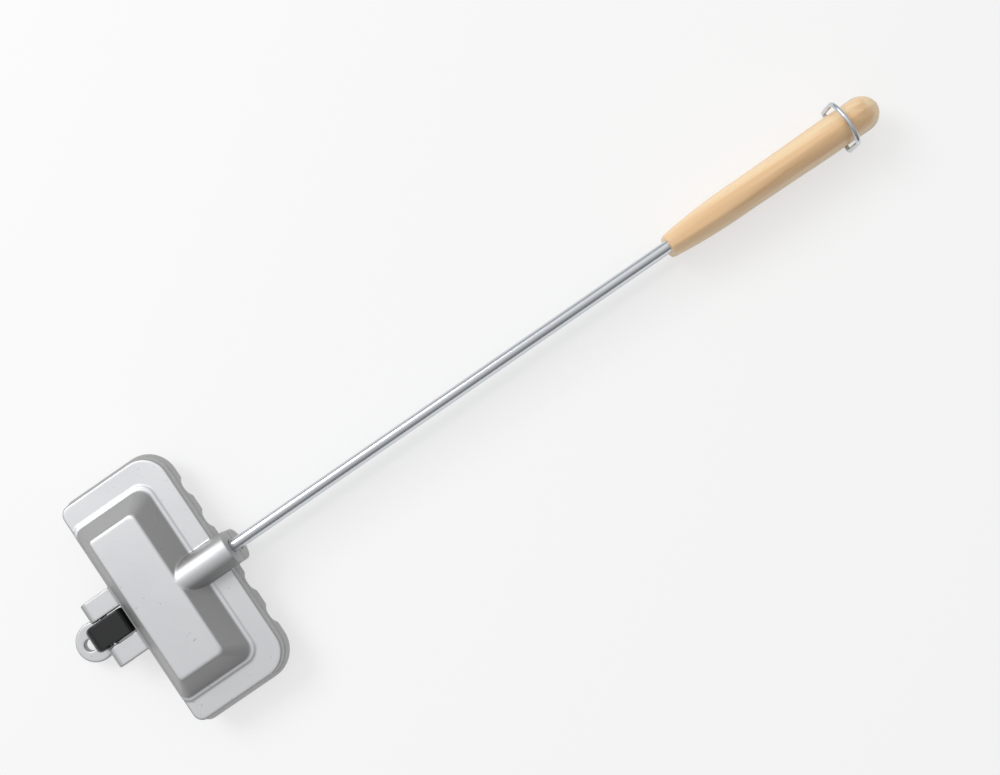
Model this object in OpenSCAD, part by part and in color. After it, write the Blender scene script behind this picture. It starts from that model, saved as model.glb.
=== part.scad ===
// Sandwich iron: two cast half shells on a hinge, two rods, two wooden half grips and a wire lock.
// The build frame has the hinge pin on x = 0 and the parting plane on z = 0; x runs towards the grips.

/* [Head] */
// length of each half shell across the rods
shell_len = 176; // [140:1:220]
// depth of each half shell along the rods
shell_depth = 79.2; // [65:0.1:110]
// thickness of the flat rim of one half
rim_h = 6.2; // [5:0.1:9]
// corner radius of the shell beside the hinge
corner_front = 8; // [4:0.5:14]
// corner radius of the shell beside the rods
corner_rear = 20; // [10:0.5:26]
// how far the lower half's rim wall flares out
flare = 2.2; // [0.5:0.1:4]
// depth of the raised pocket above the rim
pocket_rise = 15.3; // [10:0.1:22]
// length of the pocket at its foot
pocket_len = 139.4; // [110:0.2:160]
// depth of the pocket at its foot
pocket_depth = 60; // [48:0.2:66]
// how far the pocket's end and rear walls lean in
pocket_lean = 14; // [8:0.2:18]
// gap from the shell's front edge to the pocket's foot
pocket_front = 1.4; // [1:0.1:4]
// cast wall thickness
wall = 3.4; // [2.5:0.1:4.5]
// gap between the closed halves
part_gap = 0.3; // [0.2:0.05:0.6]
// pitch of the arched recesses in the lower rim
arch_pitch = 26.4; // [22:0.1:30]
// width of one recess
arch_w = 15.5; // [10:0.1:18]
// height of one recess
arch_h = 4.6; // [3:0.1:5.2]
// depth of one recess into the rim
arch_deep = 3.2; // [2:0.1:6]

/* [Hinge] */
// hinge pin diameter
pin_d = 5; // [4:0.1:7]
// distance from the hinge pin to the shell's front edge
pin_reach = 19; // [16:0.1:24]
// width of each ear
ear_w = 14.9; // [10:0.1:20]
// space between the two ears
ear_gap = 20.8; // [18:0.1:26]
// side play of the tongue between the ears
tongue_play = 0.9; // [0.3:0.1:1.5]
// how far the tongue reaches past the pin
tongue_nose = 12.7; // [11:0.1:15]
// height of the tongue over the parting plane
tongue_top = 9; // [7:0.1:12]
// rivet shank diameter
rivet_d = 4; // [3:0.1:5]
// rivet head diameter
rivet_head = 7.5; // [6:0.1:9]
// hanging eye disc radius
eye_r = 14.4; // [12:0.1:18]
// distance from the pin to the disc's centre
eye_reach = 15.2; // [12:0.1:24]
// hanging hole radius
hole_r = 4.1; // [3:0.1:6]
// how far the hole sits outward of the disc's centre
hole_shift = 4.2; // [0:0.1:5]
// thickness of the eye's lug
lug_t = 6; // [4:0.1:8]
// depth of the lug's top face below the parting plane
lug_drop = 8.5; // [7.5:0.1:9.5]

/* [Rods] */
// rod diameter
rod_d = 8; // [6:0.1:9]
// height of the rod's axis over the parting plane
rod_z = 9.5; // [8:0.1:12]
// free rod between the boss and the grip
rod_free = 357.5; // [200:0.5:520]
// radius of the boss
boss_r = 12.1; // [9:0.1:14]
// how far the boss stands out from the shell
boss_out = 9.5; // [5:0.1:16]
// rod held inside the boss
boss_bore = 26; // [18:0.5:26]
// rod held inside the grip
grip_bore = 112; // [60:1:130]
// boss cross pin diameter
boss_pin_d = 4; // [3:0.1:5]

/* [Grips] */
// length of a grip
grip_len = 169.5; // [120:0.5:220]
// half width at the front end
grip_w0 = 7.8; // [7:0.1:10]
// half width at the middle
grip_w1 = 11.3; // [9:0.1:14]
// half width near the rear end
grip_w2 = 12.6; // [10:0.1:15]
// thickness of a half grip at its front
grip_h0 = 18.6; // [15.5:0.1:21]
// distance from the grip's front end to its first screw
screw_front = 24; // [15:1:40]
// distance from the rod's end to the second screw
screw_back = 18; // [12:1:40]
// grip screw diameter
screw_d = 3.5; // [3:0.1:4.5]
// grip screw head diameter
screw_head = 7; // [6:0.1:8]

/* [Lock] */
// wire diameter of the lock bail
wire_d = 3.2; // [2:0.1:4]
// depth of the bail's pivot below the parting plane
bail_drop = 10; // [7:0.1:12]
// side gap between the bail and the grips
bail_side = 1.5; // [0.3:0.1:3]
// gap between the bail's crown and the upper grip
bail_top = 0.6; // [0.4:0.1:1.5]
// length of the wire's foot inside the grip
bail_foot = 6; // [4:0.1:8]
// inner bend radius at the wire's foot
bail_bend = 0.6; // [0.4:0.1:2]

/* [Fits] */
// running clearance on the radius
run_fit = 0.06; // [0.03:0.01:0.1]
// clearance under a screw or rivet end
end_fit = 0.4; // [0.2:0.1:1]

/* [Hidden] */
$fn = 48;
eps = 0.02;
half_h = rim_h + pocket_rise;            // height of one half, the grip's too
x_rim0 = pin_reach;
x_rim1 = pin_reach + shell_depth;
x_foot0 = x_rim0 + pocket_front;
x_foot1 = x_foot0 + pocket_depth;
front_lean = pocket_lean * 0.75;         // the hinge side is steeper
x_boss = x_rim1 + boss_out;
x_rod0 = x_boss - boss_bore;
x_grip0 = x_boss + rod_free;
x_grip1 = x_grip0 + grip_len;
x_rod1 = x_grip0 + grip_bore;
ear_r = rim_h;
tongue_w = ear_gap - 2 * tongue_play;
tongue_rear = pin_reach - 1.0;
x_eye = -eye_reach;
x_hole = x_eye - hole_shift;
bail_y = grip_w2 + bail_side + wire_d / 2;
foot_bend = bail_bend + wire_d / 2;
crown_z = half_h + bail_top + wire_d / 2;
shoulder_r = bail_y * 0.5;
crown_turn = 50;
crown_r = shoulder_r + (bail_y - shoulder_r) / cos(crown_turn);
shoulder_z = crown_z - crown_r + (bail_y - shoulder_r) * tan(crown_turn);
// the grip's rear end is rounded about the bail's pivot, so the bail can swing off it
tail_r = half_h + bail_drop + bail_top * 0.3;
tail_len = sqrt(tail_r * tail_r - pow(bail_drop + 1.2, 2));
x_bail = x_grip1 - tail_len;
grip_in = x_bail - x_grip0;
x_mid = (x_grip1 + x_eye - eye_r) / 2;
boss_pin_x = x_boss - boss_bore / 2;
rivet_x = [tongue_rear - 6, -tongue_nose + 4.6];
rivet_in = lug_drop - pin_d / 2 - 1.6;
screw_x = [x_grip0 + screw_front, x_rod1 - screw_back];

// outlines
module plate2d(x0, x1, hy, rf, rr) {
  translate([x0 + rf, -hy]) square([x1 - rr - x0 - rf, 2 * hy]);
  translate([x0, -hy + rf]) square([rf + eps, 2 * (hy - rf)]);
  translate([x1 - rr - eps, -hy + rr]) square([rr + eps, 2 * (hy - rr)]);
  for (s = [-1, 1]) {
    translate([x0 + rf, s * (hy - rf)]) circle(r = rf);
    translate([x1 - rr, s * (hy - rr)]) circle(r = rr);
  }
}

// one slice of the rim, grown by g on the three free sides and by f at the hinge side
module rim_slice(z, g, f) {
  translate([0, 0, z]) linear_extrude(eps)
    plate2d(x_rim0 - f, x_rim1 + g, shell_len / 2 + g, corner_front + min(f, g), corner_rear + g);
}

module pocket_slice(z, x0, x1, hy, rf, rr) {
  translate([0, 0, z]) linear_extrude(eps) plate2d(x0, x1, hy, rf, rr);
}

module upper_rim() {
  hull() {
    rim_slice(part_gap / 2, 0, 0);
    rim_slice(rim_h * 0.62, -0.5, 0);
    rim_slice(rim_h * 0.84, -0.9, -0.3);
    rim_slice(rim_h * 0.95, -1.5, -0.9);
    rim_slice(rim_h - eps, -2.2, -1.6);
  }
}

module lower_rim() {
  hull() {
    rim_slice(part_gap / 2, 0, 0);
    rim_slice(rim_h * 0.9, flare, 0);
    rim_slice(rim_h * 1.06, flare - 0.4, -0.4);
    rim_slice(rim_h * 1.15 - eps, flare - 1.3, -1.3);
  }
}

module pocket_outside() {
  hull() {
    pocket_slice(rim_h * 0.7, x_foot0 - 0.6, x_foot1 + 0.9, pocket_len / 2 + 0.9, 5.5, 10);
    pocket_slice(rim_h, x_foot0, x_foot1, pocket_len / 2, 5.5, 9.5);
    pocket_slice(half_h - 0.7, x_foot0 + front_lean - 0.5, x_foot1 - pocket_lean + 0.6,
                 pocket_len / 2 - pocket_lean + 0.6, 3.4, 5.2);
    pocket_slice(half_h - eps, x_foot0 + front_lean, x_foot1 - pocket_lean,
                 pocket_len / 2 - pocket_lean, 2.8, 4.6);
  }
}

// the shallow step round the pocket's foot
module foot_bead() {
  translate([0, 0, rim_h * 0.5]) linear_extrude(rim_h * 0.5 + 0.9)
    plate2d(x_foot0 - 0.4, x_foot1 + 1.6, pocket_len / 2 + 1.6, 6, 11);
}

module cavity() {
  hull() {
    pocket_slice(-1, x_foot0 + wall, x_foot1 - wall * 0.4, pocket_len / 2 - wall * 0.4, 5, 9);
    pocket_slice(rim_h, x_foot0 + wall, x_foot1 - wall * 1.2, pocket_len / 2 - wall * 1.2, 5, 8);
    pocket_slice(half_h - wall, x_foot0 + front_lean + wall * 0.7, x_foot1 - pocket_lean - wall * 0.5,
                 pocket_len / 2 - pocket_lean - wall * 0.5, 4, 5);
  }
}

// round-topped boss that runs out of the pocket's sloping wall
module boss() {
  x0 = x_foot1 - pocket_lean - 1;
  difference() {
    union() {
      translate([x0, 0, rod_z]) rotate([0, 90, 0]) cylinder(r = boss_r, h = x_boss - x0 - 0.8);
      translate([x0, 0, rod_z]) rotate([0, 90, 0]) cylinder(r = boss_r - 0.8, h = x_boss - x0);
      translate([x0, -boss_r, part_gap / 2]) cube([x_boss - x0 - 0.8, 2 * boss_r, rod_z - part_gap / 2]);
      translate([x0, -boss_r + 0.8, part_gap / 2])
        cube([x_boss - x0, 2 * boss_r - 1.6, rod_z - part_gap / 2]);
    }
    translate([x0 - 1, -boss_r - 1, -boss_r]) cube([x_boss, 2 * boss_r + 2, boss_r + part_gap / 2]);
  }
}

module boss_holes() {
  translate([x_rod0, 0, rod_z]) rotate([0, 90, 0]) cylinder(d = rod_d, h = boss_bore + 1);
  translate([boss_pin_x, -boss_r - 1, rod_z]) rotate([-90, 0, 0]) cylinder(d = boss_pin_d, h = 2 * boss_r + 2);
}

// cast halves
module ears() {
  for (s = [-1, 1]) {
    translate([0, s * (ear_gap + ear_w) / 2 + ear_w / 2, 0]) rotate([90, 0, 0]) linear_extrude(ear_w) {
      circle(r = ear_r);
      translate([0, part_gap / 2]) square([x_rim0 + 4, ear_r - part_gap / 2]);
    }
  }
}

module upper_shell() {
  color([0.80, 0.80, 0.79])
  difference() {
    union() {
      difference() {
        union() {
          upper_rim();
          foot_bead();
          pocket_outside();
          boss();
        }
        cavity();
        boss_holes();
      }
      ears();
    }
    translate([0, -ear_gap - 2 * ear_w, 0]) rotate([-90, 0, 0])
      cylinder(r = pin_d / 2 + run_fit, h = 2 * ear_gap + 4 * ear_w);
  }
}

// arched recesses along the lower rim's rear wall, beside the boss
module arch_recesses() {
  r = (arch_w * arch_w / 4 + arch_h * arch_h) / (2 * arch_h);
  for (k = [-2, -1, 1, 2]) {
    translate([x_rim1 + flare - arch_deep, k * arch_pitch, rim_h * 1.15 + r - arch_h]) rotate([0, 90, 0])
      cylinder(r = r, h = arch_deep + 2);
  }
}

module lug() {
  translate([0, 0, lug_drop]) linear_extrude(lug_t) {
    translate([x_eye, 0]) circle(r = eye_r);
    translate([x_eye, -tongue_w / 2]) square([x_foot0 + wall + 2 - x_eye, tongue_w]);
  }
}

module lower_shell() {
  color([0.78, 0.78, 0.77])
  mirror([0, 0, 1]) difference() {
    union() {
      difference() {
        union() {
          lower_rim();
          foot_bead();
          pocket_outside();
          boss();
        }
        cavity();
        boss_holes();
        arch_recesses();
      }
      lug();
    }
    translate([x_hole, 0, lug_drop - 1]) cylinder(r = hole_r, h = lug_t + 2);
    for (x = rivet_x) {
      translate([x, 0, lug_drop - 1]) cylinder(d = rivet_d, h = lug_t + 2);
    }
  }
}

// hinge
module hinge_tongue() {
  nose_r = 8.2;
  color([0.06, 0.06, 0.07])
  difference() {
    intersection() {
      translate([0, tongue_w / 2, 0]) rotate([90, 0, 0]) linear_extrude(tongue_w) intersection() {
        union() {
          translate([-tongue_nose + nose_r, -lug_drop])
            square([tongue_nose - nose_r + tongue_rear, lug_drop + tongue_top]);
          translate([-tongue_nose + nose_r, tongue_top - nose_r]) circle(r = nose_r);
          translate([-tongue_nose, -lug_drop]) square([tongue_nose, lug_drop + tongue_top - nose_r]);
        }
        circle(r = pin_reach - 0.5);
      }
      translate([0, 0, -lug_drop - 1]) linear_extrude(lug_drop + tongue_top + 2)
        plate2d(-tongue_nose, tongue_rear + 4, tongue_w / 2, 3.2, 1);
    }
    translate([0, -tongue_w, 0]) rotate([-90, 0, 0]) cylinder(d = pin_d, h = 2 * tongue_w);
    for (x = rivet_x) {
      translate([x, 0, -lug_drop - 1]) cylinder(d = rivet_d, h = 1 + rivet_in + end_fit);
    }
  }
}

module tongue_rivets() {
  color([0.72, 0.73, 0.74])
  for (x = rivet_x) {
    translate([x, 0, -lug_drop - lug_t - 1.8]) {
      translate([0, 0, 1.8 - eps]) cylinder(d = rivet_d, h = lug_t + rivet_in + eps);
      cylinder(d1 = rivet_head * 0.6, d2 = rivet_head, h = 1.8);
    }
  }
}

module hinge_pin() {
  l = ear_gap + 2 * ear_w - 1;
  color([0.72, 0.73, 0.74])
  translate([0, -l / 2, 0]) rotate([-90, 0, 0]) {
    cylinder(d = pin_d - 1, h = l);
    translate([0, 0, 0.5]) cylinder(d = pin_d, h = l - 1);
  }
}

// rods
module rod() {
  color([0.74, 0.75, 0.76])
  difference() {
    translate([0, 0, rod_z]) rotate([0, 90, 0]) {
      translate([0, 0, x_rod0]) cylinder(d = rod_d, h = x_rod1 - x_rod0 - 2);
      translate([0, 0, x_rod1 - 2 - eps]) cylinder(d1 = rod_d, d2 = rod_d - 3, h = 2 + eps);
    }
    translate([boss_pin_x, -rod_d, rod_z]) rotate([-90, 0, 0]) cylinder(d = boss_pin_d, h = 2 * rod_d);
    for (x = screw_x) {
      translate([x, 0, rod_z - rod_d]) cylinder(d = screw_d, h = 2 * rod_d);
    }
  }
}

module upper_rod() { rod(); }

module lower_rod() { mirror([0, 0, 1]) rod(); }

module boss_pin() {
  l = 2 * boss_r - 0.6;
  color([0.70, 0.71, 0.72])
  translate([boss_pin_x, -l / 2, rod_z]) rotate([-90, 0, 0]) cylinder(d = boss_pin_d, h = l);
}

module upper_boss_pin() { boss_pin(); }

module lower_boss_pin() { mirror([0, 0, 1]) boss_pin(); }

// wooden half grips: sections lofted along x
// a flat-footed section with two soft facets; k sets the facets' width and p their crispness
grip_steps = 24;
function facet_r(c, s, k, p) = 1 / pow(pow(c, p) + pow(s, p) + pow((c + s) / k, p), 1 / p);
function grip_ring(x, w, h, k, p) = concat(
  [[x, w, part_gap / 2]],
  [for (i = [0 : grip_steps]) let (a = 180 * i / grip_steps, c = cos(a), s = sin(a), r = facet_r(abs(c), s, k, p))
    [x, w * r * c, part_gap / 2 + 0.6 + (h - part_gap / 2 - 0.6) * r * s]],
  [[x, -w, part_gap / 2]]);

function mixed(a, b, t) = a + (b - a) * t;
function eased(t) = let (u = max(0, min(1, t))) u * u * (3 - 2 * u);

// half width, thickness and squareness at the share t of the way to the bail
function body_w(t) = t < 0.4 ? mixed(grip_w0, grip_w1, 1 - pow(1 - t / 0.4, 2))
                             : mixed(grip_w1, grip_w2, eased((t - 0.4) / 0.55));
function body_h(t) = mixed(grip_h0, half_h, eased(t / 0.42));
function body_k(t) = mixed(1.48, 1.44, t);
function body_p(t) = mixed(16, 5, eased(t / 0.8));

// beyond the bail the end is rounded in plan and, about the bail's pivot, from the side
function tail_h(x) = min(half_h, sqrt(max(0.01, tail_r * tail_r - pow(x - x_bail, 2))) - bail_drop);
tail_start = x_grip1 - grip_w2 * 1.05;
function tail_w(x) = x < tail_start ? grip_w2
  : grip_w2 * sqrt(max(0.003, 1 - pow((x - tail_start) / (x_grip1 - tail_start), 2)));

grip_rings = concat(
  [for (p = [[0, 1.6], [0.4, 0.8], [1.2, 0]]) grip_ring(x_grip0 + p[0], grip_w0 - p[1], grip_h0 - p[1], 1.48, 16)],
  [for (i = [1 : 16]) let (t = i / 16)
    grip_ring(x_grip0 + 1.2 + t * (grip_in - 1.2), body_w(t), body_h(t), body_k(t), body_p(t))],
  [for (i = [1 : 14]) let (t = 1 - pow(1 - i / 14, 1.7), x = x_bail + t * tail_len)
    grip_ring(x, tail_w(x), max(1.6, tail_h(x)), 1.44, mixed(5, 3.4, t))]);

module loft(rings) {
  k = len(rings[0]);
  m = len(rings);
  polyhedron(
    points = [for (r = rings) for (p = r) p],
    faces = concat(
      [[for (i = [0 : k - 1]) i]],
      [for (j = [0 : m - 2]) for (i = [0 : k - 1])
        [j * k + i, (j + 1) * k + i, (j + 1) * k + (i + 1) % k, j * k + (i + 1) % k]],
      [[for (i = [k - 1 : -1 : 0]) (m - 1) * k + i]]),
    convexity = 4);
}

module grip() {
  difference() {
    loft(grip_rings);
    translate([x_grip0 - 1, 0, rod_z]) rotate([0, 90, 0]) cylinder(d = rod_d, h = grip_bore + 1 + end_fit);
    for (x = screw_x) {
      translate([x, 0, -1]) cylinder(d = screw_d, h = 1 + rod_z + rod_d / 2 + 3 + end_fit);
      translate([x, 0, -1]) cylinder(d = screw_head + 0.4, h = 3.4);
    }
  }
}

module upper_grip() { color([0.90, 0.76, 0.55]) grip(); }

module lower_grip() {
  color([0.88, 0.72, 0.50])
  mirror([0, 0, 1]) difference() {
    grip();
    translate([x_bail, -grip_w2 - 2, bail_drop]) rotate([-90, 0, 0])
      cylinder(r = wire_d / 2 + run_fit, h = 2 + bail_foot + end_fit);
    translate([x_bail, grip_w2 - bail_foot - end_fit, bail_drop]) rotate([-90, 0, 0])
      cylinder(r = wire_d / 2 + run_fit, h = 2 + bail_foot + end_fit);
  }
}

module grip_screws() {
  color([0.70, 0.71, 0.72])
  for (x = screw_x) {
    translate([x, 0, 0.5]) {
      cylinder(d = screw_head, h = 1);
      translate([0, 0, 1 - eps]) cylinder(d = screw_d, h = rod_z + rod_d / 2 + 3 - 1.5);
    }
  }
}

module upper_grip_screws() { grip_screws(); }

module lower_grip_screws() { mirror([0, 0, 1]) grip_screws(); }

// wire lock bail: one tube along a path in the plane across the grips
// points of an arc, each [y, z, direction from the arc's centre]
function arc_path(cy, cz, r, a0, a1, n) =
  [for (i = [0 : n]) let (a = a0 + (a1 - a0) * i / n) [cy + r * cos(a), cz + r * sin(a), a]];

bail_path = concat(
  [[-(grip_w2 - bail_foot), -bail_drop, 270]],
  arc_path(-bail_y + foot_bend, -bail_drop + foot_bend, foot_bend, 270, 180, 8),
  arc_path(-bail_y + shoulder_r, shoulder_z, shoulder_r, 180, 180 - crown_turn, 6),
  arc_path(0, crown_z - crown_r, crown_r, 180 - crown_turn - 8, crown_turn + 8, 9),
  arc_path(bail_y - shoulder_r, shoulder_z, shoulder_r, crown_turn, 0, 6),
  arc_path(bail_y - foot_bend, -bail_drop + foot_bend, foot_bend, 0, -90, 8),
  [[grip_w2 - bail_foot, -bail_drop, -90]]);

wire_sides = 20;
module lock_bail() {
  color([0.74, 0.75, 0.76])
  loft([for (p = bail_path) [for (i = [0 : wire_sides - 1]) let (f = 360 * i / wire_sides)
    [x_bail + wire_d / 2 * sin(f), p[0] + wire_d / 2 * cos(f) * cos(p[2]), p[1] + wire_d / 2 * cos(f) * sin(p[2])]]]);
}

// the assembly, moved to its own frame: middle of the length, foot of the lower pocket
module placed() { translate([-x_mid, 0, half_h]) children(); }

placed() upper_shell();
placed() lower_shell();
placed() upper_rod();
placed() lower_rod();
placed() upper_grip();
placed() lower_grip();
placed() hinge_tongue();
placed() tongue_rivets();
placed() hinge_pin();
placed() upper_boss_pin();
placed() lower_boss_pin();
placed() upper_grip_screws();
placed() lower_grip_screws();
placed() lock_bail();
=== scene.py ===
import math

import bpy
from mathutils import Matrix, Vector


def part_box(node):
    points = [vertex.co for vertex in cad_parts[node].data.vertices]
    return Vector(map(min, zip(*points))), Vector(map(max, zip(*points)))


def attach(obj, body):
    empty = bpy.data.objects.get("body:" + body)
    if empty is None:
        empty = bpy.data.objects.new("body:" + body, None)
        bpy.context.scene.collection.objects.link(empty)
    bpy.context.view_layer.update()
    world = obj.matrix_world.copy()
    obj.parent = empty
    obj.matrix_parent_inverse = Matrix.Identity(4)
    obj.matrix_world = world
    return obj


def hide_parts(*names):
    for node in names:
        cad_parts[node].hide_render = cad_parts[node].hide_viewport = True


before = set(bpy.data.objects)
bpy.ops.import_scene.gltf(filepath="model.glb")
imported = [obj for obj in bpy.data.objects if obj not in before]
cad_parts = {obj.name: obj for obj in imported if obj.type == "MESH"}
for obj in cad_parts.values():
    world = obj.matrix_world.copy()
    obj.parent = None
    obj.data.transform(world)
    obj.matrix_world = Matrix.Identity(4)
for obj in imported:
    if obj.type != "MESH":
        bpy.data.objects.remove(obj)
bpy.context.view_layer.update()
print("frame loaded:", len(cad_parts), "nodes")

mm = 0.001
facesKept = 0.4             # share of a casting's faces kept after its remesh

# The pin's middle is the corner that every piece is measured from, on the parting plane
pinLow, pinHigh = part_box("hinge_pin")
pinSpot = Vector(((pinLow.x + pinHigh.x) / 2, 0, (pinLow.z + pinHigh.z) / 2))


def boxInMm(node):
    low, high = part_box(node)
    return (low - pinSpot) / mm, (high - pinSpot) / mm


upperLow, upperHigh = boxInMm("upper_shell")
lowerHigh = boxInMm("lower_shell")[1]
rodLow, rodHigh = boxInMm("upper_rod")
gripLow, gripHigh = boxInMm("upper_grip")
bailLow, bailHigh = boxInMm("lock_bail")
tongueLow, tongueHigh = boxInMm("hinge_tongue")

# Sizes in millimetres
shellSet = {
    "front": 19.0,          # from the pin to the rim's front edge
    "depth": 79.2,
    "halfLength": upperHigh.y,
    "rim": 6.2,
    "height": upperHigh.z,
    "frontCorner": 8.0,
    "rearCorner": 20.0,
    "flare": lowerHigh.y - upperHigh.y,
    "pocketFront": 1.4,
    "pocketDepth": 60.0,
    "pocketLength": 139.4,
    "lean": 14.0,
    "frontLean": 10.5,
    "footCorners": (5.5, 9.5),
    "topCorners": (2.8, 4.6),
    "footBlend": 1.7,
    "edgeBlend": 1.5,
    "beadWidth": 1.6,
    "beadRise": 0.9,
    "wall": 3.4,
    "gap": 0.15,            # half the gap between the closed halves
    "archPitch": 26.4,
    "archWidth": 15.5,
    "archHeight": 4.6,
    "archDepth": 3.2,
    "voxel": 0.55,
    "relax": 7,
}

bossSet = {
    "radius": 12.1,
    "axis": (rodLow.z + rodHigh.z) / 2,
    "end": upperHigh.x,
    "edge": 1.3,
    "bore": 26.0,
    "boreRadius": 4.25,
    "pinRadius": 2.1,
}

earSet = {
    "radius": 6.2,
    "inner": 10.4,
    "outer": 25.3,
    "edge": 0.45,
    "hole": 2.7,
}

eyeSet = {
    "reach": -15.2,
    "radius": 14.4,
    "neck": 9.5,
    "top": 8.5,
    "thick": 6.0,
    "hole": 4.1,
    "holeX": -19.4,
    "edge": 0.7,
}

tongueSet = {
    "nose": 8.2,
    "planCorner": 3.2,
    "edge": 1.0,
    "swing": 18.5,          # the rear is cut to this radius about the pin
    "notchFrom": -3.5,
    "notchTo": 3.0,
    "notchDeep": 1.1,
    "smallNotch": (-7.5, -6.3),
    "voxel": 0.4,
    "relax": 3,
}

gripSet = {
    "start": gripLow.x,
    "end": gripHigh.x,
    "height": gripHigh.z,
    "frontHeight": 18.6,
    "halfWidths": (7.8, 11.3, 12.6),
    "pivot": (bailLow.x + bailHigh.x) / 2,
    "pivotDrop": 10.0,
    "around": 56,
    "along": 90,
}

bailSet = {
    "wire": 3.2,
    "side": gripHigh.y + 1.5 + 1.6,
    "foot": 6.0,
    "footBend": 2.2,
    "crown": bailHigh.z - 1.6,
    "crownTurn": 50.0,
    "sides": 20,
}

cameraSet = {
    "spot": (42.9, -47.9, 853.5),      # millimetres, in the frame
    "target": (15.5, -14.0, 21.5),
    "up": (0.566, 0.825, 0.0),
    "lens": 44.1,
}


def settle(mesh, mirrored=False):
    # from millimetres about the pin to metres in the frame
    flip = Matrix.Diagonal((1, 1, -1, 1)) if mirrored else Matrix.Identity(4)
    mesh.transform(Matrix.Translation(pinSpot) @ Matrix.Scale(mm, 4) @ flip)
    if mirrored:
        mesh.flip_normals()
    mesh.update()


def newObject(name, mesh):
    made = bpy.data.objects.new(name, mesh)
    bpy.context.scene.collection.objects.link(made)
    return made


def smoothShade(mesh):
    mesh.polygons.foreach_set("use_smooth", [True] * len(mesh.polygons))


def loftMesh(name, rings):
    # closed solid through rings that all have as many points
    count = len(rings[0])
    faces = [list(range(count))[::-1]]
    for j in range(len(rings) - 1):
        for i in range(count):
            k = (i + 1) % count
            faces.append([j * count + i, j * count + k, (j + 1) * count + k, (j + 1) * count + i])
    faces.append([(len(rings) - 1) * count + i for i in range(count)])
    mesh = bpy.data.meshes.new(name)
    mesh.from_pydata([p for ring in rings for p in ring], [], faces)
    mesh.update()
    return mesh


def loftSolid(name, rings):
    return newObject(name, loftMesh(name, rings))


def rod3d(name, start, end, radius, sides=40):
    start, end = Vector(start), Vector(end)
    turn = (end - start).to_track_quat("Z", "Y")
    rings = []
    for centre in (start, end):
        angles = [2 * math.pi * i / sides for i in range(sides)]
        rings.append([centre + radius * (turn @ Vector((math.cos(a), math.sin(a), 0))) for a in angles])
    return loftSolid(name, rings)


def mixed(a, b, t):
    return a + (b - a) * t


def eased(t):
    u = max(0.0, min(1.0, t))
    return u * u * (3 - 2 * u)


def bend(start, corner, end, steps):
    # points of a soft corner between two straight runs
    return [tuple((1 - t) ** 2 * a + 2 * t * (1 - t) * b + t * t * c for a, b, c in zip(start, corner, end))
            for t in (i / steps for i in range(steps + 1))]


def planOutline(x0, x1, halfY, frontR, rearR, steps=14):
    corners = [(x0 + frontR, frontR - halfY, frontR, 180), (x1 - rearR, rearR - halfY, rearR, 270),
               (x1 - rearR, halfY - rearR, rearR, 0), (x0 + frontR, halfY - frontR, frontR, 90)]
    points = []
    for cx, cy, r, begin in corners:
        for i in range(steps + 1):
            a = math.radians(begin + 90 * i / steps)
            points.append((cx + r * math.cos(a), cy + r * math.sin(a)))
    return points


def castBody(name, steps, finish, mirrored=False):
    # unite and cut the rough solids in order, then remesh and relax them into one casting
    body = steps[0][1]
    for kind, solid in steps[1:]:
        cut = body.modifiers.new(kind, "BOOLEAN")
        cut.operation = kind
        cut.solver = "MANIFOLD"
        cut.object = solid
    remesh = body.modifiers.new("cast", "REMESH")
    remesh.mode = "VOXEL"
    remesh.voxel_size = finish["voxel"]
    relax = body.modifiers.new("relax", "SMOOTH")
    relax.factor = 0.5
    relax.iterations = finish["relax"]
    thin = body.modifiers.new("thin", "DECIMATE")
    thin.ratio = facesKept
    bpy.context.view_layer.update()
    mesh = bpy.data.meshes.new_from_object(body.evaluated_get(bpy.context.evaluated_depsgraph_get()))
    for kind, solid in steps:
        bpy.data.objects.remove(solid)
    mesh.name = name
    smoothShade(mesh)
    settle(mesh, mirrored)
    made = newObject(name, mesh)
    even = made.modifiers.new("even", "WEIGHTED_NORMAL")
    even.keep_sharp = False
    print(name, "cast:", len(mesh.polygons), "faces")
    return made


def rimSolid(isLower):
    s = shellSet
    straight, crown = (0.9, 0.25) if isLower else (0.62, 0.38)
    grow = s["flare"] if isLower else -0.5
    inset = 1.3 if isLower else 1.7
    frontInset = 1.3 if isLower else 1.6
    levels = [(s["gap"], 0.0, 0.0)]
    for i in range(9):
        a = math.radians(90 * i / 8)
        z = s["rim"] * (straight + crown * math.sin(a))
        levels.append((z, grow - inset * (1 - math.cos(a)), -frontInset * (1 - math.cos(a))))
    rings = []
    for z, g, f in levels:
        plan = planOutline(s["front"] - f, s["front"] + s["depth"] + g, s["halfLength"] + g,
                           s["frontCorner"] + min(f, g), s["rearCorner"] + g)
        rings.append([(x, y, z) for x, y in plan])
    return loftSolid("rim", rings)


def pocketRing(share, z):
    # the pocket's outline where its walls have leaned in by this share
    s = shellSet
    x0 = s["front"] + s["pocketFront"] + s["frontLean"] * share
    x1 = s["front"] + s["pocketFront"] + s["pocketDepth"] - s["lean"] * share
    frontR = mixed(s["footCorners"][0], s["topCorners"][0], share)
    rearR = mixed(s["footCorners"][1], s["topCorners"][1], share)
    plan = planOutline(x0, x1, s["pocketLength"] / 2 - s["lean"] * share, frontR, rearR)
    return [(max(x, s["front"] + 0.25), y, z) for x, y in plan]


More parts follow.
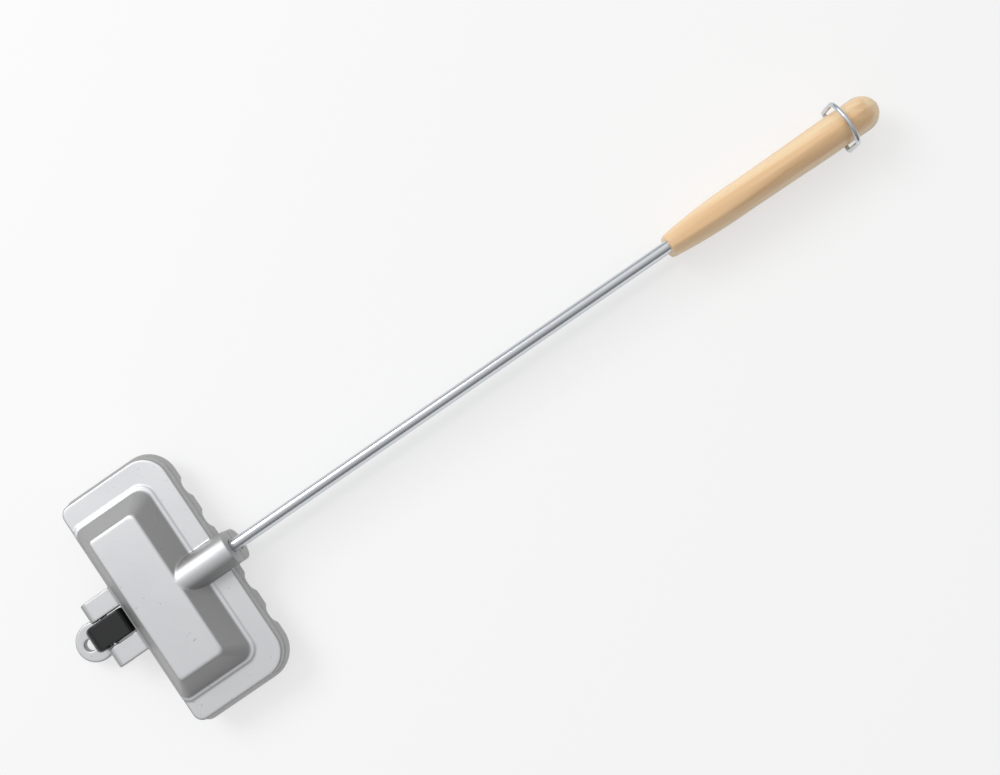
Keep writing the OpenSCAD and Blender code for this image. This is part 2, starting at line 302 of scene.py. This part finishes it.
def pocketSolid():
    s = shellSet
    foot, top = s["rim"], s["height"]
    rise = top - foot
    wallLength = math.hypot(rise, s["lean"])
    base = foot + s["beadRise"] * 0.6
    sunk = (base - foot) / rise
    blend = s["footBlend"] / wallLength
    edge = s["edgeBlend"] / wallLength
    profile = [(sunk - s["footBlend"] * 1.3 / s["lean"] - 0.03, s["rim"] * 0.6)]
    profile += bend((sunk - s["footBlend"] / s["lean"], base), (sunk, base),
                    (sunk + blend, base + rise * blend), 6)
    profile += bend((1 - edge, top - rise * edge), (1, top), (1 + s["edgeBlend"] / s["lean"], top), 6)
    return loftSolid("pocket", [pocketRing(share, z) for share, z in profile])


def beadSolid():
    s = shellSet
    x0 = s["front"] + s["pocketFront"] - 0.4
    x1 = s["front"] + s["pocketFront"] + s["pocketDepth"] + s["beadWidth"]
    halfY = s["pocketLength"] / 2 + s["beadWidth"]
    top = s["rim"] + s["beadRise"]
    rings = []
    for z, g in ((s["rim"] * 0.5, 0.5), (s["rim"], 0.5), (top - 0.35, 0.1), (top - 0.1, -0.25), (top, -0.7)):
        plan = planOutline(x0, x1 + g, halfY + g, 6 + g, 11 + g)
        rings.append([(x, y, z) for x, y in plan])
    return loftSolid("bead", rings)


def bossSolid():
    b, s = bossSet, shellSet
    x0 = s["front"] + s["pocketFront"] + s["pocketDepth"] - s["lean"] - 1
    stations = [(x0, b["radius"])]
    for i in range(7):
        a = math.radians(90 * i / 6)
        x = b["end"] - b["edge"] * (1 - math.sin(a))
        stations.append((x, b["radius"] - b["edge"] * (1 - math.cos(a))))
    rings = []
    for x, r in stations:
        ring = [(x, r * math.cos(math.radians(a)), b["axis"] + r * math.sin(math.radians(a)))
                for a in range(0, 181, 5)]
        rings.append(ring + [(x, -r, s["gap"]), (x, r, s["gap"])])
    return loftSolid("boss", rings)


def cavitySolid():
    s = shellSet
    w, foot0 = s["wall"], s["front"] + s["pocketFront"]
    foot1 = foot0 + s["pocketDepth"]
    top = s["height"] - w
    levels = [(-1.0, w, 0.4 * w, 5.0, 9.0), (s["rim"], w, 1.2 * w, 5.0, 8.0)]
    high = (top, s["frontLean"] + 0.7 * w, s["lean"] + 0.5 * w, 4.0, 5.0)
    for share in (0.35, 0.7, 0.86):
        levels.append(tuple(mixed(a, b, share) for a, b in zip(levels[1], high)))
    levels.append((top - 0.5, high[1] + 0.2, high[2] + 0.3, 4.0, 5.0))
    levels.append((top, high[1] + 1.8, high[2] + 1.8, 3.0, 4.0))
    rings = []
    for z, front, sides, frontR, rearR in levels:
        plan = planOutline(foot0 + front, foot1 - sides, s["pocketLength"] / 2 - sides, frontR, rearR)
        rings.append([(x, y, z) for x, y in plan])
    return loftSolid("cavity", rings)


def earSolids():
    e, s = earSet, shellSet
    back, solids = s["front"] + 4, []
    for side in (-1, 1):
        low, high = sorted((side * e["inner"], side * e["outer"]))
        rings = []
        for y, inset in ((low, e["edge"]), (low + e["edge"], 0), (high - e["edge"], 0), (high, e["edge"])):
            r = e["radius"] - inset
            turns = [math.radians(a) for a in range(90, 361, 6)]
            ring = [(r * math.cos(a), y, r * math.sin(a)) for a in turns]
            ring += [(r, y, s["gap"]), (back, y, s["gap"]), (back, y, r)]
            rings.append(ring[::-1])
        solids.append(loftSolid("ear", rings))
    return solids


def lugSolid():
    e, s = eyeSet, shellSet
    turn = math.degrees(math.asin(e["neck"] / e["radius"]))
    rings = []
    back = s["front"] + s["pocketFront"] + s["wall"] + 2
    for z, inset in ((0, 1.0), (0.15, 0.5), (0.5, 0.15), (1, 0), (5, 0), (5.5, 0.15), (5.85, 0.5), (6, 1.0)):
        r, neck = e["radius"] - inset * e["edge"], e["neck"] - inset * e["edge"]
        ring = [(back, -neck, e["top"] + z), (back, neck, e["top"] + z)]
        for i in range(49):
            a = math.radians(mixed(turn, 360 - turn, i / 48))
            ring.append((e["reach"] + r * math.cos(a), r * math.sin(a), e["top"] + z))
        rings.append(ring)
    return loftSolid("lug", rings)


def archSolids():
    s = shellSet
    r = (s["archWidth"] ** 2 / 4 + s["archHeight"] ** 2) / (2 * s["archHeight"])
    z = s["rim"] * 1.15 + r - s["archHeight"]
    x = s["front"] + s["depth"] + s["flare"] - s["archDepth"]
    return [rod3d("arch", (x, k * s["archPitch"], z), (x + 6, k * s["archPitch"], z), r, 64)
            for k in (-2, -1, 1, 2)]


def shellSteps(isLower):
    b, e = bossSet, earSet
    steps = [("UNION", solid) for solid in (rimSolid(isLower), beadSolid(), pocketSolid(), bossSolid())]
    boreStart, boreEnd = (b["end"] - b["bore"], 0, b["axis"]), (b["end"] + 2, 0, b["axis"])
    cuts = [cavitySolid(), rod3d("bore", boreStart, boreEnd, b["boreRadius"])]
    pinX = b["end"] - b["bore"] / 2
    cuts.append(rod3d("cross", (pinX, -20, b["axis"]), (pinX, 20, b["axis"]), b["pinRadius"]))
    if isLower:
        cuts += archSolids()
        steps += [("DIFFERENCE", c) for c in cuts]
        steps.append(("UNION", lugSolid()))
        hole = rod3d("eye", (eyeSet["holeX"], 0, 0), (eyeSet["holeX"], 0, 30), eyeSet["hole"] + 0.1)
        steps.append(("DIFFERENCE", hole))
    else:
        steps += [("DIFFERENCE", c) for c in cuts]
        steps += [("UNION", ear) for ear in earSolids()]
        steps.append(("DIFFERENCE", rod3d("pinHole", (0, -40, 0), (0, 40, 0), e["hole"])))
    return steps


# Tongue: side view lofted across the gap between the ears
def tongueProfile(inset, pull):
    t = tongueSet
    x0, z0, z1 = tongueLow.x + pull, tongueLow.z + inset, tongueHigh.z - inset
    nose, swing = t["nose"] - inset, t["swing"] - inset
    cx, cz = x0 + nose, z1 - nose
    points = []
    for i in range(13):
        a = math.radians(90 + 90 * i / 12)
        points.append((cx + nose * math.cos(a), cz + nose * math.sin(a)))
    points += bend((x0, z0 + 2), (x0, z0), (x0 + 2, z0), 4)
    low, high = math.asin(z0 / swing), math.asin(z1 / swing)
    for i in range(17):
        a = mixed(low, high, i / 16)
        points.append((min(tongueHigh.x - inset, swing * math.cos(a)), swing * math.sin(a)))
    return points


def makeTongue():
    t = tongueSet
    half = tongueHigh.y
    marks = []
    for i in range(9):
        a = math.radians(90 * i / 8)
        marks.append((half - t["planCorner"] * (1 - math.sin(a)), t["planCorner"] * (1 - math.cos(a))))
    rings = []
    for y, pull in marks[::-1] + [(-y, pull) for y, pull in marks]:
        near = half - abs(y)
        inset = t["edge"] * (1 - math.sqrt(max(0.0, 1 - (1 - min(1.0, near / t["edge"])) ** 2)))
        rings.append([(x, y, z) for x, z in tongueProfile(inset, pull)])
    body = loftSolid("tongueRough", rings)
    cuts = []
    for low, high in ((t["notchFrom"], t["notchTo"]), t["smallNotch"]):
        ring = planOutline(low, high, t["notchDeep"], 0.3, 0.3, 3)
        cuts.append(loftSolid("notch", [[(x, y - half, z) for x, y in ring] for z in (-20, 20)]))
    return castBody("tongue", [("UNION", body)] + [("DIFFERENCE", c) for c in cuts], t)


# Grips: two soft facets high on each side fade towards the rear
def facetRadius(c, s, k, p):
    return 1 / (c ** p + s ** p + ((c + s) / k) ** p) ** (1 / p)


def gripRing(x, w, h, k, p):
    g = shellSet["gap"]
    ring = [(x, w * 0.96, g)]
    for i in range(gripSet["around"] + 1):
        a = math.pi * i / gripSet["around"]
        c, s = math.cos(a), math.sin(a)
        r = facetRadius(abs(c), max(s, 0.0), k, p)
        seam = 0.45 * (1 - min(1.0, max(s, 0.0) * 9)) ** 2
        ring.append((x, (w - seam) * r * c, g + 0.5 + (h - g - 0.5) * r * max(s, 0.0)))
    ring.append((x, -w * 0.96, g))
    return ring


def gripRings():
    g = gripSet
    w0, w1, w2 = g["halfWidths"]
    tailRound = g["height"] + g["pivotDrop"] + 0.18
    tailStart = g["end"] - w2 * 1.05

    def width(x):
        t = (x - g["start"]) / (g["pivot"] - g["start"])
        if t < 0.4:
            return mixed(w0, w1, 1 - (1 - t / 0.4) ** 2)
        full = mixed(w1, w2, eased((t - 0.4) / 0.55))
        if x > tailStart:
            return full * math.sqrt(max(0.003, 1 - ((x - tailStart) / (g["end"] - tailStart)) ** 2))
        return full

    def tall(x):
        t = (x - g["start"]) / (g["pivot"] - g["start"])
        if x < g["pivot"]:
            return mixed(g["frontHeight"], g["height"], eased(t / 0.42))
        swing = math.sqrt(max(0.01, tailRound ** 2 - (x - g["pivot"]) ** 2)) - g["pivotDrop"]
        return max(1.6, min(g["height"], swing))

    rings = []
    for i in range(7):
        a = math.radians(90 * i / 6)
        pull = 1.5 * (1 - math.sin(a))
        x = g["start"] + 1.3 * (1 - math.cos(a))
        rings.append(gripRing(x, w0 - pull, g["frontHeight"] - pull, 1.48, 16))
    first = g["start"] + 1.3
    for i in range(1, g["along"] + 1):
        share = i / g["along"]
        x = mixed(first, g["pivot"], share)
        crisp = mixed(16, 5, eased(share / 0.8))
        rings.append(gripRing(x, width(x), tall(x), mixed(1.48, 1.44, share), crisp))
    for i in range(1, 41):
        share = 1 - (1 - i / 40) ** 1.9
        x = mixed(g["pivot"], g["end"], share)
        rings.append(gripRing(x, width(x), tall(x), 1.44, mixed(5, 3.4, share)))
    return rings


def makeGrip(name, mirrored):
    mesh = loftMesh(name, [ring[::-1] for ring in gripRings()])
    smoothShade(mesh)
    settle(mesh, mirrored)
    made = newObject(name, mesh)
    even = made.modifiers.new("even", "WEIGHTED_NORMAL")
    even.keep_sharp = False
    return made


# Lock bail: a round wire along one path in the plane across the grips
def arcPath(cy, cz, r, begin, stop, steps):
    return [(cy + r * math.cos(math.radians(a)), cz + r * math.sin(math.radians(a)))
            for a in (mixed(begin, stop, i / steps) for i in range(steps + 1))]


def makeBail():
    b, g = bailSet, gripSet
    side, footZ, turn = b["side"], -g["pivotDrop"], b["crownTurn"]
    tip = g["halfWidths"][2] - b["foot"]
    shoulder = side * 0.5
    crownR = shoulder + (side - shoulder) / math.cos(math.radians(turn))
    shoulderZ = b["crown"] - crownR + (side - shoulder) * math.tan(math.radians(turn))
    path = [(-tip, footZ)]
    path += arcPath(-side + b["footBend"], footZ + b["footBend"], b["footBend"], 270, 180, 10)
    path += arcPath(-side + shoulder, shoulderZ, shoulder, 180, 180 - turn, 14)
    path += arcPath(0, b["crown"] - crownR, crownR, 180 - turn, turn, 26)[1:-1]
    path += arcPath(side - shoulder, shoulderZ, shoulder, turn, 0, 14)
    path += arcPath(side - b["footBend"], footZ + b["footBend"], b["footBend"], 0, -90, 10)
    path += [(tip, footZ)]
    rings = []
    for i, (y, z) in enumerate(path):
        before, after = path[max(0, i - 1)], path[min(len(path) - 1, i + 1)]
        along = Vector((0, after[0] - before[0], after[1] - before[1])).normalized()
        across = Vector((1, 0, 0)).cross(along)
        ring = []
        for k in range(b["sides"]):
            a = 2 * math.pi * k / b["sides"]
            offset = Vector((1, 0, 0)) * math.cos(a) + across * math.sin(a)
            ring.append(Vector((g["pivot"], y, z)) + offset * b["wire"] / 2)
        rings.append(ring)
    mesh = loftMesh("bail", rings)
    smoothShade(mesh)
    settle(mesh)
    return newObject("bail", mesh)


# Materials
class Flow:
    # a socket that takes part in ordinary sums
    def __init__(self, tree, socket=None):
        self.tree = tree
        self.socket = socket

    def make(self, kind, settings=None, sockets=None, out=0):
        node = self.tree.nodes.new(kind)
        for key, value in (settings or {}).items():
            if key == "stops":
                ramp = node.color_ramp
                while len(ramp.elements) < len(value):
                    ramp.elements.new(0.5)
                for element, (place, colour) in zip(ramp.elements, value):
                    element.position = place
                    element.color = (*colour, 1)
            else:
                setattr(node, key, value)
        for key, value in (sockets or {}).items():
            if isinstance(value, Flow):
                self.tree.links.new(value.socket, node.inputs[key])
            else:
                node.inputs[key].default_value = value
        return Flow(self.tree, node.outputs[out] if len(node.outputs) else None)

    def maths(self, operation, first, second=0.0, third=0.0):
        return self.make("ShaderNodeMath", {"operation": operation}, {0: first, 1: second, 2: third})

    def __add__(self, other):
        return self.maths("ADD", self, other)

    def __mul__(self, other):
        return self.maths("MULTIPLY", self, other)

    __radd__ = __add__
    __rmul__ = __mul__

    def kept(self):
        return self.make("ShaderNodeClamp", None, {"Value": self})

    def band(self, low, high, first=0.0, second=1.0):
        ends = {"From Min": low, "From Max": high, "To Min": first, "To Max": second}
        return self.make("ShaderNodeMapRange", {"interpolation_type": "SMOOTHSTEP"}, {"Value": self, **ends})

    def colours(self, first, second):
        # a mix of two colours, this value being the share of the second
        return self.make("ShaderNodeMix", {"data_type": "RGBA"}, {0: self, 6: first, 7: second}, 2)

    def noise(self, scale, detail=4.0, rough=0.55, stretch=(1, 1, 1), turned=0.0):
        spot = self.make("ShaderNodeTexCoord", out="Object")
        place = self.make("ShaderNodeMapping", None, {0: spot, 3: tuple(scale * s for s in stretch)})
        sockets = {"Vector": place, "Scale": 1.0, "Detail": detail, "Roughness": rough, "Distortion": turned}
        return self.make("ShaderNodeTexNoise", None, sockets)

    def along(self, axis, kind="Object"):
        spot = self.make("ShaderNodeTexCoord", out=kind)
        return self.make("ShaderNodeSeparateXYZ", None, {0: spot}, axis)


def rgb(r, g, b):
    # a colour as it is seen on a screen, in the renderer's own numbers
    return tuple(((c / 255 + 0.055) / 1.055) ** 2.4 if c > 10 else c / 255 / 12.92 for c in (r, g, b)) + (1,)


def newMaterial(name, settings):
    # settings holds the sockets of the surface shader, by name
    material = bpy.data.materials.new(name)
    material.use_nodes = True
    tree = material.node_tree
    tree.nodes.clear()
    flow = Flow(tree)
    sockets = settings(flow)
    shader = flow.make("ShaderNodeBsdfPrincipled", None, sockets)
    flow.make("ShaderNodeOutputMaterial", None, {"Surface": shader})
    return material


castSet = {
    "flat": rgb(214, 215, 217),
    # flat is the metal's colour on faces turned up; wall is a darker colour that paints the shade of the
    # side walls
    "wall": rgb(176, 176, 175),
    "roughness": 0.44,
    "grain": 900.0,
    "grainDepth": 0.00004,
}


def castAluminium(flow):
    c = castSet
    shadeByFacing = flow.maths("ABSOLUTE", flow.along("Z", "Normal"))
    cloud = flow.noise(28, 3)
    fine = flow.noise(c["grain"], 2, 0.6)
    speck = flow.noise(380, 2, 0.5)
    pits = speck.band(0.70, 0.76)
    # painted shade: faces turned away from straight up blend into the darker wall colour, standing in for
    # the dim light the walls reflect
    body = shadeByFacing.band(0.72, 0.97).colours(c["wall"], c["flat"])
    body = (pits * 0.35).colours(body, rgb(120, 120, 120))
    body = (cloud.band(0.35, 0.75) * 0.14).colours(body, rgb(188, 188, 192))
    relief = fine * 0.6 + pits * -0.5
    sockets = {"Strength": 0.55, "Distance": c["grainDepth"], "Height": relief}
    normal = flow.make("ShaderNodeBump", None, sockets)
    rough = c["roughness"] + 0.08 * cloud.band(0.3, 0.7) + 0.05 * fine
    return {"Base Color": body, "Metallic": 0.85, "Roughness": rough, "Normal": normal}


steelSet = {"colour": rgb(214, 218, 222), "roughness": 0.2, "lines": 1500.0}


def drawnSteel(flow):
    s = steelSet
    lines = flow.noise(s["lines"], 2, 0.5, (0.01, 1, 1))
    haze = flow.noise(35, 3, 0.5, (0.3, 1, 1))
    body = (haze.band(0.35, 0.7) * 0.3).colours(s["colour"], rgb(186, 190, 196))
    normal = flow.make("ShaderNodeBump", None, {"Strength": 0.35, "Distance": 0.00002, "Height": lines})
    return {"Base Color": body, "Metallic": 1.0, "Roughness": s["roughness"] + 0.08 * haze, "Normal": normal}


woodSet = {
    "pale": rgb(250, 222, 178),
    "warm": rgb(238, 196, 148),
    "line": rgb(214, 160, 108),
}


def paleWood(flow):
    w = woodSet
    grain = flow.noise(230, 4, 0.6, (0.035, 1, 1), 0.6)
    bands = flow.noise(60, 2, 0.5, (0.06, 1, 1), 0.4)
    flecks = flow.noise(900, 2, 0.5, (0.07, 1, 1))
    body = bands.band(0.35, 0.68).colours(w["pale"], w["warm"])
    body = (grain.band(0.5, 0.72) * 0.35).colours(body, w["line"])
    body = (flecks.band(0.66, 0.74) * 0.4).colours(body, w["line"])
    normal = flow.make("ShaderNodeBump", None, {"Strength": 0.3, "Distance": 0.00005, "Height": grain})
    return {"Base Color": body, "Roughness": 0.42 + 0.1 * grain, "Normal": normal, "Coat Weight": 0.25,
            "Coat Roughness": 0.25}


def blackEnamel(flow):
    wave = flow.noise(300, 3)
    dust = flow.noise(2200, 2)
    body = (dust.band(0.6, 0.75) * 0.25).colours(rgb(17, 18, 20), rgb(62, 64, 68))
    normal = flow.make("ShaderNodeBump", None, {"Strength": 0.4, "Distance": 0.00006, "Height": wave})
    return {"Base Color": body, "Roughness": 0.26 + 0.12 * wave, "Normal": normal}


def setMaterial(thing, material):
    thing.data.materials.clear()
    thing.data.materials.append(material)


def lookThrough():
    c = cameraSet
    data = bpy.data.cameras.new("camera")
    data.lens = c["lens"]
    data.sensor_width = 36
    data.clip_start, data.clip_end = 0.01, 50
    camera = newObject("camera", data)
    spot, target = Vector(c["spot"]) * mm, Vector(c["target"]) * mm
    back = (spot - target).normalized()
    right = Vector(c["up"]).cross(back).normalized()
    up = back.cross(right)
    turn = Matrix((right, up, back)).transposed().to_4x4()
    camera.matrix_world = Matrix.Translation(spot) @ turn
    bpy.context.scene.camera = camera


floorSet = {"radius": 3.0, "sides": 96, "paper": (0.92, 0.92, 0.92, 1), "glow": 0.6}


def makeFloor():
    radius, sides = floorSet["radius"], floorSet["sides"]
    rim = [(radius * math.cos(2 * math.pi * i / sides), radius * math.sin(2 * math.pi * i / sides), 0.0)
           for i in range(sides)]
    mesh = bpy.data.meshes.new("floor")
    mesh.from_pydata(rim, [], [list(range(sides))])
    floor = newObject("floor", mesh)
    material = bpy.data.materials.new("paper")
    material.use_nodes = True
    material.node_tree.nodes.clear()
    flow = Flow(material.node_tree)
    rays = [flow.make("ShaderNodeLightPath", out=kind)
            for kind in ("Is Camera Ray", "Is Glossy Ray", "Is Transmission Ray")]
    seen = (rays[0] + rays[1] + rays[2]).kept()
    paper = flow.make("ShaderNodeBsdfDiffuse", None, {"Color": floorSet["paper"]})
    glow = flow.make("ShaderNodeEmission", None, {"Color": (1, 1, 1, 1), "Strength": 1.0})
    both = flow.make("ShaderNodeMixShader", None, {0: seen * floorSet["glow"], 1: paper, 2: glow})
    flow.make("ShaderNodeOutputMaterial", None, {"Surface": both})
    setMaterial(floor, material)


def makeSky():
    world = bpy.data.worlds.new("sky")
    bpy.context.scene.world = world
    world.use_nodes = True
    world.node_tree.nodes.clear()
    flow = Flow(world.node_tree)
    spot = flow.make("ShaderNodeTexCoord", out="Generated")
    up = flow.make("ShaderNodeSeparateXYZ", None, {0: spot}, "Z")
    across = flow.make("ShaderNodeSeparateXYZ", None, {0: spot}, "Y")
    level = up.band(-0.1, 0.95, 0.25, 0.95) * across.band(-0.9, 0.6, 0.45, 1.05)
    tint = up.band(0.0, 1.0).colours((0.97, 0.98, 1.0, 1), (1.0, 1.0, 1.0, 1))
    sky = flow.make("ShaderNodeBackground", None, {"Color": tint, "Strength": level})
    flow.make("ShaderNodeOutputWorld", None, {"Surface": sky})


lampSet = {"spot": (-0.7, 1.3, 1.4), "size": (1.0, 0.9), "power": 16}


def makeLamp():
    data = bpy.data.lights.new("window", "AREA")
    data.shape = "RECTANGLE"
    data.size, data.size_y = lampSet["size"]
    data.energy = lampSet["power"]
    lamp = newObject("window", data)
    lamp.location = lampSet["spot"]
    lamp.rotation_mode = "QUATERNION"
    lamp.rotation_quaternion = (-lamp.location).to_track_quat("-Z", "Y")


bpy.context.scene.view_settings.view_transform = "Standard"
lookThrough()
makeFloor()
makeSky()
makeLamp()
print("camera, floor and light made")

cast = newMaterial("castAluminium", castAluminium)
steel = newMaterial("drawnSteel", drawnSteel)
wood = newMaterial("paleWood", paleWood)
enamel = newMaterial("blackEnamel", blackEnamel)
print("materials made")

for isLower, node, body in ((False, "upper_shell", "upper_half"), (True, "lower_shell", "lower_half")):
    name = "lowerCasting" if isLower else "upperCasting"
    shell = castBody(name, shellSteps(isLower), shellSet, isLower)
    setMaterial(shell, cast)
    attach(shell, body)
    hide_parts(node)

for name, node, body, mirrored in (("upperGripWood", "upper_grip", "upper_half", False),
                                   ("lowerGripWood", "lower_grip", "lower_half", True)):
    grip = makeGrip(name, mirrored)
    setMaterial(grip, wood)
    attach(grip, body)
    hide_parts(node)
print("grips made")

bail = makeBail()
setMaterial(bail, steel)
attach(bail, "lock")
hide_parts("lock_bail")

tongue = makeTongue()
setMaterial(tongue, enamel)
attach(tongue, "lower_half")
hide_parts("hinge_tongue")

for node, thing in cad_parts.items():
    if not thing.hide_render:
        setMaterial(thing, steel)
print("steel pieces dressed")
